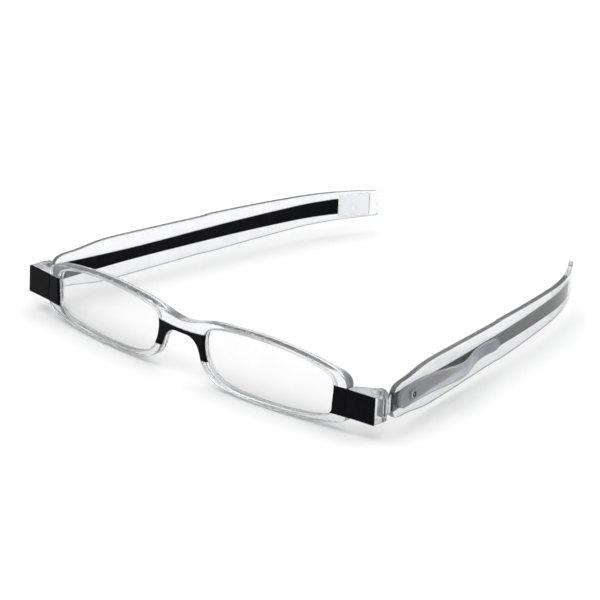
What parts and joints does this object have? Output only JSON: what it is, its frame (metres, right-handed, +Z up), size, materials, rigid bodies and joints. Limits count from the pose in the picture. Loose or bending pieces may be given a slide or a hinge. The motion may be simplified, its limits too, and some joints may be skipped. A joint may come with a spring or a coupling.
{
  "type": "folding reading glasses",
  "caption": "Slim clear-framed reading glasses with black inlays, swivelling end blocks, folding flat temples and a spring pocket clip on one temple.",
  "frame": {"origin": "crown of the bridge's underside, half way through the rim, on the plane of symmetry: where the glasses bear on the nose", "axes": "+X to the viewer's right as seen from the front, +Y back along the temples, +Z up"},
  "size_m": [0.1403, 0.1395, 0.0209],
  "materials": {
    "clear_plastic": "clear, polished, faintly frosted",
    "lens": "clear, polished",
    "black_plastic": "satin",
    "clip_plastic": "smoky, translucent",
    "steel": "polished",
    "label": "clear film, blank"
  },
  "bodies": {
    "front": {"front_frame": "clear_plastic", "bridge_inlay": "black_plastic", "left_end_inlay": "black_plastic", "right_end_inlay": "black_plastic", "left_lens": "lens", "right_lens": "lens", "left_swivel_rivet": "steel", "right_swivel_rivet": "steel", "left_wave_washer": "steel", "right_wave_washer": "steel"},
    "left_block": {"left_hinge_block": "clear_plastic", "left_block_cover": "black_plastic", "left_hinge_pin": "steel"},
    "right_block": {"right_hinge_block": "clear_plastic", "right_block_cover": "black_plastic", "right_hinge_pin": "steel"},
    "left_temple": {"left_temple": "clear_plastic", "left_temple_stripe": "black_plastic", "left_tip_label": "label"},
    "right_temple": {"right_temple": "clear_plastic", "right_temple_stripe": "black_plastic"},
    "pocket_clip": {"pocket_clip": "clip_plastic", "clip_rivet": "steel"}
  },
  "joints": [
    {"name": "left_swivel", "type": "hinge", "parent": "front", "child": "left_block", "pos_m": [-0.0604, 0.00505, -0.00435], "axis": [1, 0, 0], "range_deg": [0, 180]},
    {"name": "right_swivel", "type": "hinge", "parent": "front", "child": "right_block", "pos_m": [0.0604, 0.00505, -0.00435], "axis": [-1, 0, 0], "range_deg": [-180, 0]},
    {"name": "left_fold", "type": "hinge", "parent": "left_block", "child": "left_temple", "pos_m": [-0.06759, 0.00995, -0.00435], "axis": [0, 0, -1], "range_deg": [-9.5, 82.5]},
    {"name": "right_fold", "type": "hinge", "parent": "right_block", "child": "right_temple", "pos_m": [0.06759, 0.00995, -0.00435], "axis": [0, 0, 1], "range_deg": [-16.7, 67.3]},
    {"name": "clip_flex", "type": "hinge", "parent": "right_temple", "child": "pocket_clip", "pos_m": [0.06906, 0.01475, -0.00435], "axis": [0, 0, -1], "range_deg": [0, 4], "stiffness_Nm_per_rad": 0.3}
  ]
}
